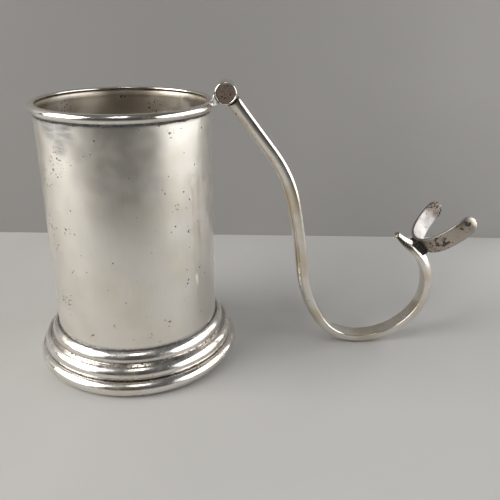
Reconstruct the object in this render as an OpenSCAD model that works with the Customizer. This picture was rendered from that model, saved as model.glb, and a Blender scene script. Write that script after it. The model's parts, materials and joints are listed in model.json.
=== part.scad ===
// Pint tankard with a hinged, hooked handle that carries a forked cradle.
// Z is up, the origin is the centre of the foot on the table, and +X runs out along the handle.

/* [Body] */
// Height of the tankard to the top of the rim
tankard_h = 127; // [120:1:134]
// Outer radius of the drum under the rim
drum_top_r = 39.1; // [38.6:0.1:39.5]
// Outer radius of the drum at the base mouldings
drum_bottom_r = 39.9; // [39.6:0.1:40.1]
// Thickness of the sheet metal
sheet_t = 1; // [0.7:0.1:1.2]
// Height of the underside of the floor above the table
floor_z = 3; // [2.5:0.1:4]
// Radius of the rounded wire round the rim
rim_wire_r = 2; // [1.8:0.05:2.2]

/* [Foot] */
// Height of the top of the mouldings above the table
moulding_top_z = 20; // [19:0.5:22]
// Radius of the upper bead's section
upper_bead_r = 3; // [2.8:0.1:3.1]
// Radius of the lower, larger bead's section
lower_bead_r = 3.2; // [3:0.1:3.3]
// Radius of the foot ring's section
foot_bead_r = 3.8; // [3.6:0.1:4]
// Largest radius of the foot ring
foot_r = 50.2; // [49.8:0.1:51]
// Height of the dark groove between the foot ring and the mouldings
groove_h = 1.1; // [0.8:0.1:1.3]

/* [Hinge] */
// Distance of the hinge axis from the tankard's centre line
hinge_x = 46; // [45.8:0.1:47]
// Height of the hinge axis above the rim
hinge_rise = 3.2; // [3.1:0.1:3.8]
// Outer radius of the knuckles
knuckle_r = 4.9; // [4.6:0.1:5]
// Length of the whole hinge barrel
barrel_len = 11.6; // [11:0.2:13]
// Length of the middle knuckle, on the handle
middle_len = 4.2; // [3.6:0.2:4.6]
// Radius of the hinge pin
pin_r = 1.6; // [1.2:0.1:2]
// Radial play between the pin and the handle's knuckle
pin_play = 0.05; // [0.02:0.01:0.09]
// Radius of the discs that close the ends of the barrel
cap_r = 4.4; // [4:0.1:4.5]

/* [Handle] */
// Width of the half-round bar across its flat
bar_w = 8.3; // [7.6:0.1:8.6]
// Thickness of the bar from its flat to its crown
bar_t = 5.4; // [4.8:0.1:5.6]
// Slope of the straight shank below the horizontal
shank_slope = 53; // [51:0.5:55]
// Gap between the barrel and the shoulder of the bar
shoulder_gap = 0.7; // [0.5:0.1:0.9]
// Size of the bar at its tip, as a share of its full size
tip_scale = 0.55; // [0.45:0.05:0.7]

/* [Cradle] */
// Width of the strip that the cradle is bent from
strip_w = 9.1; // [8:0.1:9.6]
// Thickness of the strip
strip_t = 1.5; // [1.2:0.1:1.8]
// Radius of the bend on each side of the cradle's middle
root_r = 15.5; // [14.5:0.5:17]
// Angle of that bend
root_angle = 52; // [46:1:56]
// Radius of the gentler bend out to each tip
arm_r = 26; // [24:1:30]
// Angle of that gentler bend
arm_angle = 42; // [36:1:46]
// Turn of the cradle to one side on its solder pad
cradle_yaw = 10; // [0:1:14]

/* [Hidden] */
$fn = 96;

rim_z = tankard_h - rim_wire_r;
// The wire's centre line runs just outside the drum's edge.
rim_wire_x = drum_top_r + 0.2;
// Height of the drum's hidden lower edge, inside the foot ring.
drum_foot_z = 1.6;
floor_t = 1.2 * sheet_t;

hinge_z = tankard_h + hinge_rise;
// Gap between two neighbouring knuckles.
side_gap = 0.1;
cap_t = 0.7;
cap_recess = 0.1;
pin_len = barrel_len - 2 * (cap_t + cap_recess);
// The bar's shoulder is hollowed to this radius, and the bracket is notched a little wider.
shoulder_r = knuckle_r + shoulder_gap;
notch_r = shoulder_r + 0.2;

// The bar's section is a circle of this radius, cut by a flat.
section_r = (pow(bar_w / 2, 2) + pow(bar_t, 2)) / (2 * bar_t);
section_x = bar_t - section_r;
// How far the flat lies above the hinge axis, and where the bar begins along the shank.
flat_offset = 3.6;
bar_start = 3.5;
// Clearance of the hanging loop over the table.
table_gap = 0.05;

// The flat follows these bends after the straight shank: [radius, angle], left turns positive.
BENDS = [[63, -24.5], [285, -7.5], [58, 31], [20.5, 48], [32.5, 57.5], [25.5, 92], [28, -18]];
LOWEST_BEND = 4;

function unit(a) = [cos(a), sin(a)];
function left(a) = [-sin(a), cos(a)];
function heading(i) = i == 0 ? -shank_slope : heading(i - 1) + BENDS[i - 1][1];
function turn(r, a0, a1) = sign(a1 - a0) * r * (left(a0) - left(a1));
function fall(i) = i < 0 ? 0 : fall(i - 1) - turn(BENDS[i][0], heading(i), heading(i + 1))[1];
// Drop from the start of the bends to the lowest point of the flat.
bend_fall = fall(LOWEST_BEND - 1) - turn(BENDS[LOWEST_BEND][0], heading(LOWEST_BEND), 0)[1];
shank_start = [hinge_x, hinge_z] + bar_start * unit(-shank_slope)
    + flat_offset * left(-shank_slope);
// The shank's length follows from the loop resting on the table.
shank_len = (shank_start[1] - bend_fall - bar_t - table_gap) / sin(shank_slope);
function bend_start(i) = i == 0 ? shank_start + shank_len * unit(-shank_slope)
    : bend_start(i - 1) + turn(BENDS[i - 1][0], heading(i - 1), heading(i));

// The cradle is soldered where the last loop bend has this heading.
CRADLE_BEND = 5;
cradle_heading = 136;
cradle_lean = 3;
cradle_stand = 6.5;
pad_w = 7.2;
pad_len = 8.4;

module in_side_view(width) {
    rotate([90, 0, 0])
        linear_extrude(width, center = true)
            children();
}

module on_hinge() {
    translate([hinge_x, 0, hinge_z])
        children();
}

module cross_cylinder(r, y0, y1) {
    translate([0, y1, 0])
        rotate([90, 0, 0])
            cylinder(r = r, h = y1 - y0);
}

// A ring of round section about the tankard's centre line.
module round_ring(x, z, r) {
    rotate_extrude($fn = 180)
        translate([x, z])
            circle(r);
}

module disc(r, z0, z1) {
    translate([0, 0, z0])
        cylinder(r = r, h = z1 - z0, $fn = 180);
}

module spun(points) {
    rotate_extrude($fn = 180)
        polygon(points);
}

// ---- drum, floor and rim ----

module drum() {
    color("silver")
        rotate_extrude($fn = 180)
            polygon([
                [drum_bottom_r, drum_foot_z], [drum_bottom_r, moulding_top_z],
                [drum_top_r, rim_z], [drum_top_r - sheet_t, rim_z],
                [drum_bottom_r - sheet_t, moulding_top_z],
                [drum_bottom_r - sheet_t, drum_foot_z]
            ]);
}

module floor_disc() {
    color("darkgray")
        disc(drum_bottom_r - sheet_t, floor_z, floor_z + floor_t);
}

module rim_section() {
    difference() {
        translate([rim_wire_x, rim_z])
            circle(rim_wire_r);
        translate([0, rim_z - 2 * rim_wire_r])
            square([drum_top_r - sheet_t, 4 * rim_wire_r]);
        polygon([
            [0, moulding_top_z], [drum_bottom_r, moulding_top_z],
            [drum_top_r, rim_z], [0, rim_z]
        ]);
    }
}

module rim_wire() {
    color("gainsboro")
        rotate_extrude($fn = 180)
            rim_section();
}

// ---- mouldings of the foot ----

// The foot ring's bead stands a little clear of the table, on a flat resting face.
foot_lift = 0.2;
rest_inner_x = drum_bottom_r + 2.4;
foot_bead_x = foot_r - foot_bead_r;
rest_outer_x = foot_bead_x + 0.6;
ring_top_z = 7.6;
// The mouldings sit on a step of the foot ring, groove_h above its bead.
land_x = foot_bead_x - 0.2;
land_z = ring_top_z + groove_h;
lower_bead_x = drum_bottom_r + 4.3;
lower_bead_z = land_z + 1.5;
upper_bead_x = drum_bottom_r + 0.4;
upper_bead_z = moulding_top_z - upper_bead_r;
// The cove is hollowed out between the two beads.
cove_r = 1.9;
cove_x = lower_bead_x + 0.9;
cove_z = (upper_bead_z + lower_bead_z) / 2 + 1.4;
// The stamping follows the beads inside, about this thick.
stamping_t = 1.6;
// How far a cutter or a filling reaches past the face that it meets.
overlap = 2;

// The mouldings are a hollow stamping, open below and closed by the foot ring.
module base_moulding() {
    color("silver")
        difference() {
            union() {
                round_ring(upper_bead_x, upper_bead_z, upper_bead_r);
                round_ring(lower_bead_x, lower_bead_z, lower_bead_r);
                spun([
                    [drum_bottom_r - overlap, upper_bead_z],
                    [upper_bead_x + upper_bead_r - 0.1, upper_bead_z],
                    [lower_bead_x, lower_bead_z + 2], [lower_bead_x, land_z - 1],
                    [drum_bottom_r - overlap, land_z - 1]
                ]);
            }
            round_ring(cove_x, cove_z, cove_r);
            disc(drum_bottom_r, 0, 2 * moulding_top_z);
            disc(2 * foot_r, 0, land_z);
            moulding_cavity();
        }
}

// The hollow of the stamping: it widens downwards, and its top slopes in to the drum.
module moulding_cavity() {
    neck_x = upper_bead_x + upper_bead_r - stamping_t;
    mouth_x = lower_bead_x + lower_bead_r - stamping_t;
    spun([
        [drum_bottom_r - overlap, land_z - overlap], [mouth_x - 0.6, land_z - overlap],
        [mouth_x, lower_bead_z], [mouth_x - 1.2, lower_bead_z + 1.8],
        [neck_x, lower_bead_z + 2.6], [neck_x, upper_bead_z + 0.4],
        [drum_bottom_r - overlap, upper_bead_z + 1.6]
    ]);
}

module foot_ring() {
    color("silver")
        difference() {
            union() {
                round_ring(foot_bead_x, foot_bead_r + foot_lift, foot_bead_r);
                spun([
                    [drum_bottom_r, drum_foot_z], [drum_bottom_r, land_z], [land_x, land_z],
                    [rest_outer_x, 0], [rest_inner_x, 0]
                ]);
            }
            difference() {
                disc(2 * foot_r, ring_top_z, 2 * land_z);
                disc(land_x, 0, 3 * land_z);
            }
        }
}

// ---- hinge ----

module rim_knuckle(side) {
    color("lightgray")
        on_hinge()
            mirror([0, side > 0 ? 0 : 1, 0])
                difference() {
                    cross_cylinder(knuckle_r, middle_len / 2 + side_gap, barrel_len / 2);
                    cross_cylinder(pin_r, 0, barrel_len);
                    cross_cylinder(cap_r, pin_len / 2, barrel_len);
                }
}

module rim_knuckle_front() {
    rim_knuckle(-1);
}

module rim_knuckle_rear() {
    rim_knuckle(1);
}

module hinge_pin() {
    color("dimgray")
        on_hinge()
            cross_cylinder(pin_r, -pin_len / 2, pin_len / 2);
}

module pin_cap(side) {
    color("rosybrown")
        on_hinge()
            mirror([0, side > 0 ? 0 : 1, 0])
                cross_cylinder(cap_r, pin_len / 2, pin_len / 2 + cap_t);
}

module pin_cap_front() {
    pin_cap(-1);
}

module pin_cap_rear() {
    pin_cap(1);
}

bracket_w = 8;
// The bracket's top stays under the rim's, so that the handle can fold over it.
bracket_top = tankard_h - 0.3;
bracket_root = drum_top_r + 0.4;
// How far its front edge hangs below the barrel, and how far it stops short of the pin.
bracket_lip = 0.7;
bracket_reach = 1.8;

// A tongue from the rim wire to the two outer knuckles, notched for the middle one.
module hinge_bracket() {
    color("lightgray")
        difference() {
            in_side_view(bracket_w)
                polygon([
                    [bracket_root, bracket_top], [hinge_x - 0.75 * knuckle_r, bracket_top],
                    [hinge_x, hinge_z], [hinge_x, hinge_z - 0.6 * knuckle_r],
                    [hinge_x - bracket_reach, hinge_z - knuckle_r - bracket_lip],
                    [bracket_root + 1.2, rim_z - 0.9 * rim_wire_r],
                    [bracket_root, rim_z - 0.7 * rim_wire_r]
                ]);
            round_ring(rim_wire_x, rim_z, rim_wire_r);
            on_hinge() {
                cross_cylinder(knuckle_r, -bracket_w, bracket_w);
                cross_cylinder(notch_r, -middle_len / 2 - side_gap, middle_len / 2 + side_gap);
            }
        }
}

// The tenon joins the middle knuckle to the bar, and is let into the bar's shoulder.
tenon_w = middle_len - 0.4;
tenon_drop = 1.9;
tenon_len = shoulder_r + 1.5;

module tenon() {
    rotate([0, shank_slope, 0])
        translate([0, -tenon_w / 2, -tenon_drop])
            cube([tenon_len, tenon_w, 2 * tenon_drop]);
}

module handle_knuckle() {
    color("lightgray")
        on_hinge()
            difference() {
                union() {
                    cross_cylinder(knuckle_r, -middle_len / 2, middle_len / 2);
                    tenon();
                }
                cross_cylinder(pin_r + pin_play, -middle_len, middle_len);
            }
}

// ---- handle ----

STEP_DEG = 6;
SHANK_STEPS = 2;
TIP_STEPS = 5;

// Stations along the flat: [x, z, heading].
shank_stations = [
    for (i = [0:SHANK_STEPS - 1])
        let (p = shank_start + shank_len * i / SHANK_STEPS * unit(-shank_slope))
            [p[0], p[1], -shank_slope]
];
bend_stations = [
    for (i = [0:len(BENDS) - 1])
        let (n = ceil(max(4, abs(BENDS[i][1]) / STEP_DEG)), p = bend_start(i), a0 = heading(i))
            for (k = [0:n - 1])
                let (a = a0 + BENDS[i][1] * k / n, q = p + turn(BENDS[i][0], a0, a))
                    k == 0 ? [p[0], p[1], a0] : [q[0], q[1], a]
];
stations = concat(shank_stations, bend_stations);
tail_heading = heading(len(BENDS));
tail_end = bend_start(len(BENDS));
// Only the tail, past the cradle, tapers.
TAPER_STATIONS = 4;
first_taper = len(stations) - TAPER_STATIONS;

function taper(i) = i < first_taper ? 1
    : 1 - (1 - tip_scale) * (i - first_taper) / TAPER_STATIONS;

DOME_STEPS = 16;
dome_angle = 180 - acos(section_x / section_r);

// The half-round section at scale s: [height over the flat, place across the bar].
function section(s) = [
    for (k = [0:DOME_STEPS])
        let (a = dome_angle * (1 - 2 * k / DOME_STEPS))
            s * [section_x + section_r * cos(a), section_r * sin(a)]
];
function ring(x, z, a, s) = [
    for (p = section(s))
        [x + p[0] * sin(a), p[1], z - p[0] * cos(a)]
];
function tip_ring(t) =
    let (s = tip_scale * sqrt(1 - t * t), reach = tip_scale * bar_w / 3 * t,
         rise = (tip_scale - s) * bar_t / 2,
         c = tail_end + reach * unit(tail_heading) - rise * left(tail_heading))
        ring(c[0], c[1], tail_heading, s);

module handle_solid() {
    rings = concat(
        [for (i = [0:len(stations) - 1]) ring(stations[i][0], stations[i][1], stations[i][2], taper(i))],
        [for (k = [0:TIP_STEPS - 1]) tip_ring(k / (TIP_STEPS - 0.4))]
    );
    n = DOME_STEPS + 1;
    last = len(rings) - 1;
    points = [for (r = rings) each r];
    sides = [
        for (i = [0:last - 1])
            for (k = [0:n - 1])
                let (j = (k + 1) % n)
                    each [
                        [i * n + k, (i + 1) * n + j, (i + 1) * n + k],
                        [i * n + k, i * n + j, (i + 1) * n + j]
                    ]
    ];
    caps = [[for (k = [0:n - 1]) n - 1 - k], [for (k = [0:n - 1]) last * n + k]];
    polyhedron(points, concat(sides, caps), convexity = 8);
}

module handle_bar() {
    color("silver")
        difference() {
            handle_solid();
            on_hinge() {
                cross_cylinder(shoulder_r, -bar_w, bar_w);
                tenon();
            }
        }
}

// ---- cradle ----

cradle_point = bend_start(CRADLE_BEND)
    + turn(BENDS[CRADLE_BEND][0], heading(CRADLE_BEND), cradle_heading);

// Local X points out through the cradle's mouth, Y across the handle, and Z along the bar.
module at_cradle(yaw) {
    translate([cradle_point[0], 0, cradle_point[1]])
        rotate([0, 90 - cradle_heading + cradle_lean, 0])
            translate([cradle_stand, 0, 0])
                rotate([0, 0, yaw])
                    children();
}

// The middle line of one side of the strip, from the root to the tip.
arm_centre = [root_r, 0] + (arm_r - root_r) * unit(-root_angle);
function arm_point(a, off) = a < root_angle
    ? [root_r, 0] - (root_r + off) * unit(-a)
    : arm_centre - (arm_r + off) * unit(-a);
arm_angles = concat(
    [for (k = [1:12]) root_angle * k / 12],
    [for (k = [1:12]) root_angle + arm_angle * k / 12]
);
function side(off, flip) = [
    for (a = arm_angles)
        let (p = arm_point(a, off))
            [p[0], flip * p[1]]
];
function reversed(list) = [for (i = [len(list) - 1:-1:0]) list[i]];

// Rounds both corners at the tip of the arm that bends towards flip * Y.
module tip_cut(flip) {
    rounding = strip_w / 2;
    tip_angle = rounding / arm_r * 180 / PI;
    reach = 2 * strip_w;
    p = arm_point(root_angle + arm_angle - tip_angle, 0);
    translate([p[0], flip * p[1], 0])
        rotate([0, 0, flip * (180 - root_angle - arm_angle + tip_angle)])
            difference() {
                translate([-reach / 2, flip > 0 ? -reach : 0, -reach / 2])
                    cube(reach);
                rotate([0, 90, 0])
                    cylinder(r = rounding, h = 2 * reach, center = true);
            }
}

module cradle() {
    outside = strip_t / 2;
    color("tan")
        at_cradle(cradle_yaw)
            difference() {
                linear_extrude(strip_w, center = true)
                    polygon(concat(
                        reversed(side(outside, -1)), [[-outside, 0]], side(outside, 1),
                        reversed(side(-outside, 1)), [[outside, 0]], side(-outside, -1)
                    ));
                tip_cut(1);
                tip_cut(-1);
            }
}

// The pad fills the space between the crown of the bar and the back of the cradle.
module solder_pad() {
    bend = BENDS[CRADLE_BEND];
    centre = bend_start(CRADLE_BEND) + bend[0] * left(heading(CRADLE_BEND));
    color("dimgray")
        difference() {
            at_cradle(0)
                translate([-bar_t / 2 - strip_t / 2, -pad_w / 2, -pad_len / 2])
                    cube([bar_t / 2 + strip_t, pad_w, pad_len]);
            at_cradle(cradle_yaw)
                translate([root_r, 0, 0])
                    cylinder(r = root_r + strip_t / 2, h = 2 * pad_len, center = true, $fn = 360);
            translate([centre[0], 0, centre[1]])
                rotate([90, 0, 0])
                    rotate_extrude($fn = 360)
                        translate([bend[0] + section_x, 0])
                            circle(section_r, $fn = 180);
        }
}

drum();
floor_disc();
rim_wire();
base_moulding();
foot_ring();
hinge_bracket();
rim_knuckle_front();
rim_knuckle_rear();
hinge_pin();
pin_cap_front();
pin_cap_rear();
handle_knuckle();
handle_bar();
solder_pad();
cradle();
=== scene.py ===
"""Looks of a pint tankard with a hinged, hooked handle: worn silver plate with pits and tarnish."""

import json
import math

import bmesh
import bpy
import numpy as np
from mathutils import Matrix, Vector, noise


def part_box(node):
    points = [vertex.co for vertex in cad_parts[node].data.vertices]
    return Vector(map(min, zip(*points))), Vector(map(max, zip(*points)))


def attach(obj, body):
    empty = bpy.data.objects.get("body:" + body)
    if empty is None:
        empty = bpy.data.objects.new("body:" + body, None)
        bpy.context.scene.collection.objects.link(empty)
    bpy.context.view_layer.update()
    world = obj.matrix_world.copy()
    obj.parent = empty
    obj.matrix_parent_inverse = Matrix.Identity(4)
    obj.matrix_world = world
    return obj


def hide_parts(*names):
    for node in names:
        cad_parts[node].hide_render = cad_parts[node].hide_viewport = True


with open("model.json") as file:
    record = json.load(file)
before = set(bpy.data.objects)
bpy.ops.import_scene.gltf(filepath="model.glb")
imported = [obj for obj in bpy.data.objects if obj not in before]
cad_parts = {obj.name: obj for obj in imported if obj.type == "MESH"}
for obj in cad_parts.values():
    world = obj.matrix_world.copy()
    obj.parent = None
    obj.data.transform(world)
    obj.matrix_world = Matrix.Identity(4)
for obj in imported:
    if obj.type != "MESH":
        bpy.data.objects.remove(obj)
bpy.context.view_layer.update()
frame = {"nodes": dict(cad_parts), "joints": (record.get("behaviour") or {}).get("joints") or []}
MM = 0.001

# ---- sizes, in millimetres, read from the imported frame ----


def node_box(node):
    low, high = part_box(node)
    return np.array(low) / MM, np.array(high) / MM


RIM_LOW, RIM_HIGH = node_box("rim_wire")
DRUM_LOW, DRUM_HIGH = node_box("drum")
FLOOR_LOW, FLOOR_HIGH = node_box("floor_disc")
CAP_LOW, CAP_HIGH = node_box("pin_cap_front")
KNUCKLE_LOW, KNUCKLE_HIGH = node_box("rim_knuckle_front")
HINGE = np.array(frame["joints"][0]["pos_m"]) / MM
AXLE = HINGE[[0, 2]]

TOP_Z = RIM_HIGH[2]
RIM_R = (TOP_Z - RIM_LOW[2]) / 2
RIM_Z = TOP_Z - RIM_R
RIM_X = RIM_HIGH[0] - RIM_R
BASE_R = DRUM_HIGH[0]
NECK_R = RIM_X - 0.2
SHEET_T = BASE_R - FLOOR_HIGH[0]
FOOT_R, _, LAND_Z = node_box("foot_ring")[1]
MOULDING_Z = node_box("base_moulding")[1][2]
PIN_R = node_box("hinge_pin")[1][0] - HINGE[0]
KNUCKLE_R = (KNUCKLE_HIGH[0] - KNUCKLE_LOW[0]) / 2
MIDDLE_HALF = node_box("handle_knuckle")[1][1]
CAP_R = (CAP_HIGH[0] - CAP_LOW[0]) / 2
BAR_W = 2 * node_box("handle_bar")[1][1]
PAD_MIDDLE = np.mean(node_box("solder_pad"), axis=0)

# ---- outlines and measures ----


def arc(centre, radius, start, end, steps):
    """Points along an arc about centre, with angles in degrees."""
    angles = np.radians(np.linspace(start, end, steps + 1))
    return [(centre[0] + radius * math.cos(a), centre[1] + radius * math.sin(a)) for a in angles]


def rounded(corners, steps=4):
    """A closed outline through corners (x, y, radius), each rounded to its radius."""
    out = []
    count = len(corners)
    for i, (x, y, radius) in enumerate(corners):
        here = np.array((x, y))
        if radius == 0:
            out.append((x, y))
            continue
        back = np.array(corners[i - 1][:2]) - here
        ahead = np.array(corners[(i + 1) % count][:2]) - here
        back /= np.linalg.norm(back)
        ahead /= np.linalg.norm(ahead)
        half = math.acos(np.clip(back @ ahead, -1, 1)) / 2
        middle = (back + ahead) / np.linalg.norm(back + ahead)
        centre = here + middle * radius / math.sin(half)
        first = here + back * radius / math.tan(half) - centre
        last = here + ahead * radius / math.tan(half) - centre
        for k in range(steps + 1):
            mixed = first * math.cos(k / steps * math.pi / 2) + last * math.sin(k / steps * math.pi / 2)
            out.append(tuple(centre + mixed / np.linalg.norm(mixed) * radius))
    return out


def divided(outline, step):
    """The closed outline with points added so that no side is longer than step."""
    out = []
    for i, here in enumerate(outline):
        ahead = outline[(i + 1) % len(outline)]
        parts = max(1, math.ceil(math.dist(here, ahead) / step))
        out += [(here[0] + (ahead[0] - here[0]) * k / parts,
                 here[1] + (ahead[1] - here[1]) * k / parts) for k in range(parts)]
    return out


def bowed(first, control, last, steps):
    """Points along a quadratic curve, without its last point."""
    a, b, c = (np.array(p) for p in (first, control, last))
    return [tuple((1 - t) ** 2 * a + 2 * t * (1 - t) * b + t * t * c) for t in np.arange(steps) / steps]


def along(heading):
    """The unit step towards a heading, in degrees."""
    return np.array([math.cos(math.radians(heading)), math.sin(math.radians(heading))])


def left_of(heading):
    """The unit step to the left of a heading, in degrees."""
    return np.array([-math.sin(math.radians(heading)), math.cos(math.radians(heading))])


def round_z(radius, angle, z=0):
    """The point at an angle, in radians, round the Z axis."""
    return radius * math.cos(angle), radius * math.sin(angle), z


def ramp(value, low, high):
    """0 below low, 1 above high, and a straight rise between them."""
    return min(1, max(0, (value - low) / (high - low)))


def eased(value, low, high):
    """0 below low, 1 above high, and a smooth rise between them."""
    t = ramp(value, low, high)
    return t * t * (3 - 2 * t)


def falloff(distance, width, power=2):
    """1 at no distance, and soon 0 beyond the width."""
    return math.exp(-abs(distance / width) ** power)


def unevenness(point, size, seed):
    """Smooth noise from -1 to 1 with features of the given size."""
    return noise.noise(Vector(point) / size + Vector((seed * 7.3, seed * 3.1, seed * 5.7)))


# ---- meshes ----


def linked(name, data):
    """A new object in the scene."""
    made = bpy.data.objects.new(name, data)
    bpy.context.scene.collection.objects.link(made)
    return made


def new_piece(name, points, faces, body, replaced=(), grime=None):
    """A smooth-shaded mesh, given in millimetres, that rides on a body."""
    mesh = bpy.data.meshes.new(name)
    mesh.from_pydata([tuple(MM * c for c in p) for p in points], [], faces)
    if grime is not None:
        layer = mesh.attributes.new("grime", "FLOAT", "POINT")
        layer.data.foreach_set("value", np.asarray(grime, np.float32))
    work = bmesh.new()
    work.from_mesh(mesh)
    bmesh.ops.recalc_face_normals(work, faces=work.faces)
    work.to_mesh(mesh)
    work.free()
    mesh.shade_smooth()
    piece = linked(name, mesh)
    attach(piece, body)
    if replaced:
        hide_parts(*replaced)
    return piece


def lathe_grid(outline, turns, shape=None):
    """Points and faces of an outline turned about Z. shape(angle, r, z) gives a small move (dr, dz)."""
    points = []
    count = len(outline)
    for i in range(turns):
        angle = 2 * math.pi * i / turns
        for r, z in outline:
            dr, dz = shape(angle, r, z) if shape else (0, 0)
            points.append(round_z(r + dr, angle, z + dz))
    faces = [
        (i * count + k, i * count + (k + 1) % count,
         (i + 1) % turns * count + (k + 1) % count, (i + 1) % turns * count + k)
        for i in range(turns) for k in range(count)
    ]
    return points, faces


def seam_grime(outline, seams):
    """The grime at each outline point from the seams (r, z, width, weight), from 0 to 1."""
    out = []
    for r, z in outline:
        near = [weight * falloff(math.dist((r, z), (sr, sz)), width) for sr, sz, width, weight in seams]
        out.append(max(near, default=0))
    return out


def lathe(name, outline, turns, body, replaced=(), shape=None, seams=()):
    """A piece turned about Z from its outline, with grime along its seams."""
    points, faces = lathe_grid(outline, turns, shape)
    return new_piece(name, points, faces, body, replaced, seam_grime(outline, seams) * turns)


def skin_rings(rings):
    """Faces of a tube through equal rings, closed at both ends by a fan round a centre point."""
    count = len(rings[0])
    points = [p for ring in rings for p in ring]
    faces = [
        (i * count + k, i * count + (k + 1) % count, (i + 1) * count + (k + 1) % count, (i + 1) * count + k)
        for i in range(len(rings) - 1) for k in range(count)
    ]
    for first in (0, (len(rings) - 1) * count):
        centre = np.mean([points[first + k] for k in range(count)], axis=0)
        points.append(tuple(centre))
        faces += [(first + k, first + (k + 1) % count, len(points) - 1) for k in range(count)]
    return points, faces


# ---- materials ----


class Finish:
    """A node-based material on one Principled shader, with helpers for its patterns."""

    def __init__(self, name, roughness=0.5, metallic=1.0):
        self.material = bpy.data.materials.new(name)
        self.material.use_nodes = True
        self.tree = self.material.node_tree
        self.shader = self.tree.nodes["Principled BSDF"]
        self.shader.inputs["Metallic"].default_value = metallic
        self.shader.inputs["Roughness"].default_value = roughness
        self.place = self.node("ShaderNodeTexCoord").outputs["Object"]
        self.bumps = []

    def node(self, kind, *inputs, **settings):
        """A new node with those settings, and with its first inputs fed."""
        made = self.tree.nodes.new(kind)
        for key, value in settings.items():
            setattr(made, key, value)
        for socket, value in zip(made.inputs, inputs):
            self.feed(socket, value)
        return made

    def feed(self, socket, value):
        """Links another socket to it, or sets its colour from a tuple, or its number or list."""
        if isinstance(value, bpy.types.NodeSocket):
            self.tree.links.new(value, socket)
        elif isinstance(value, tuple):
            socket.default_value = (*value, 1)
        else:
            socket.default_value = value

    def math(self, operation, *values):
        return self.node("ShaderNodeMath", *values, operation=operation).outputs[0]

    def span(self, value, low, high, to_low=0.0, to_high=1.0):
        """value from low to high becomes to_low to to_high, smoothly and clamped."""
        return self.node("ShaderNodeMapRange", value, low, high, to_low, to_high,
                         interpolation_type="SMOOTHSTEP").outputs[0]

    def mix(self, share, first, second):
        made = self.node("ShaderNodeMix", share, data_type="RGBA")
        self.feed(made.inputs[6], first)
        self.feed(made.inputs[7], second)
        return made.outputs[2]

    def blend(self, value, factor, added):
        """value times factor, plus added."""
        return self.math("MULTIPLY_ADD", value, factor, added)

    def cloud(self, size_mm, detail=3, stretch=(1, 1, 1), turn=(0, 0, 0), rough=0.5):
        """Noise from 0 to 1 with features about size_mm across, turned in degrees and stretched."""
        turned = self.node("ShaderNodeMapping", self.place)
        turned.inputs["Rotation"].default_value = [math.radians(a) for a in turn]
        turned.inputs["Scale"].default_value = stretch
        made = self.node("ShaderNodeTexNoise", turned.outputs[0])
        made.inputs["Scale"].default_value = 1 / (size_mm * MM)
        made.inputs["Detail"].default_value = detail
        made.inputs["Roughness"].default_value = rough
        return made.outputs[0]

    def unroll(self, radius):
        """From here on patterns lie flat on a drum of that radius: round it, up it, and through it."""
        split = self.node("ShaderNodeSeparateXYZ", self.place)
        angle = self.math("ARCTAN2", split.outputs[1], split.outputs[0])
        way_round = self.math("MULTIPLY", angle, radius * MM)
        self.place = self.node("ShaderNodeCombineXYZ", way_round, split.outputs[2]).outputs[0]

    def dots(self, size_mm, share, reach):
        """1 inside uneven round dots, one in each cell of size_mm. share is how many cells have one,
        and reach is the largest dot's radius as a share of the cell."""
        warp = self.cloud(size_mm / 4, 2).node.outputs["Color"]
        moved = self.node("ShaderNodeVectorMath", warp, [0.22 * size_mm * MM] * 3, self.place,
                          operation="MULTIPLY_ADD")
        made = self.node("ShaderNodeTexVoronoi", moved.outputs[0])
        made.inputs["Scale"].default_value = 1 / (size_mm * MM)
        chance = self.node("ShaderNodeSeparateColor", made.outputs["Color"])
        there = self.math("LESS_THAN", chance.outputs[0], share)
        size = self.blend(chance.outputs[1], 0.7 * reach, 0.3 * reach)
        inside = self.span(self.math("SUBTRACT", size, made.outputs["Distance"]), -0.02, 0.06)
        return self.math("MULTIPLY", inside, there)

    def patch(self, centre, radius):
        """1 at centre, falling to 0 at radius, both in millimetres."""
        made = self.node("ShaderNodeVectorMath", self.place, [MM * c for c in centre], operation="DISTANCE")
        return self.span(made.outputs["Value"], radius * MM, 0.2 * radius * MM)

    def any_of(self, values):
        total = values[0]
        for value in values[1:]:
            total = self.math("MAXIMUM", total, value)
        return total

    def grime(self):
        return self.node("ShaderNodeAttribute", attribute_name="grime").outputs["Fac"]

    def scratches(self, length_mm, width_mm, turn, level):
        """1 on thin scratches of that length and width, turned by an angle. A higher level gives fewer."""
        field = self.cloud(width_mm, 1, (1, width_mm / length_mm, 1), (0, 0, turn))
        return self.span(field, level, level + 0.06)

    def bump(self, height, depth_mm):
        """Adds relief: height from 0 to 1 stands depth_mm out."""
        self.bumps.append((height, depth_mm))

    def finish(self, colour, roughness=None):
        """The material, with its colour, its roughness and all its relief linked up."""
        self.feed(self.shader.inputs["Base Color"], colour)
        if roughness is not None:
            self.feed(self.shader.inputs["Roughness"], roughness)
        normal = None
        for height, depth in self.bumps:
            made = self.node("ShaderNodeBump")
            made.inputs["Distance"].default_value = depth * MM
            self.feed(made.inputs["Height"], height)
            if normal:
                self.feed(made.inputs["Normal"], normal)
            normal = made.outputs[0]
        self.feed(self.shader.inputs["Normal"], normal)
        return self.material


# The middle radius of the wall, outside and inside.
WALL_R = 39.5
INNER_WALL_R = 38.4

SILVER = (0.86, 0.82, 0.745)
WARM_SILVER = (0.76, 0.69, 0.57)
INNER_SILVER = (0.62, 0.58, 0.515)
INNER_WARM_SILVER = (0.51, 0.45, 0.365)
BROWN_TARNISH = (0.235, 0.19, 0.15)
BLACK_TARNISH = (0.05, 0.043, 0.038)
GREY_STAIN = (0.17, 0.17, 0.18)

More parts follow.
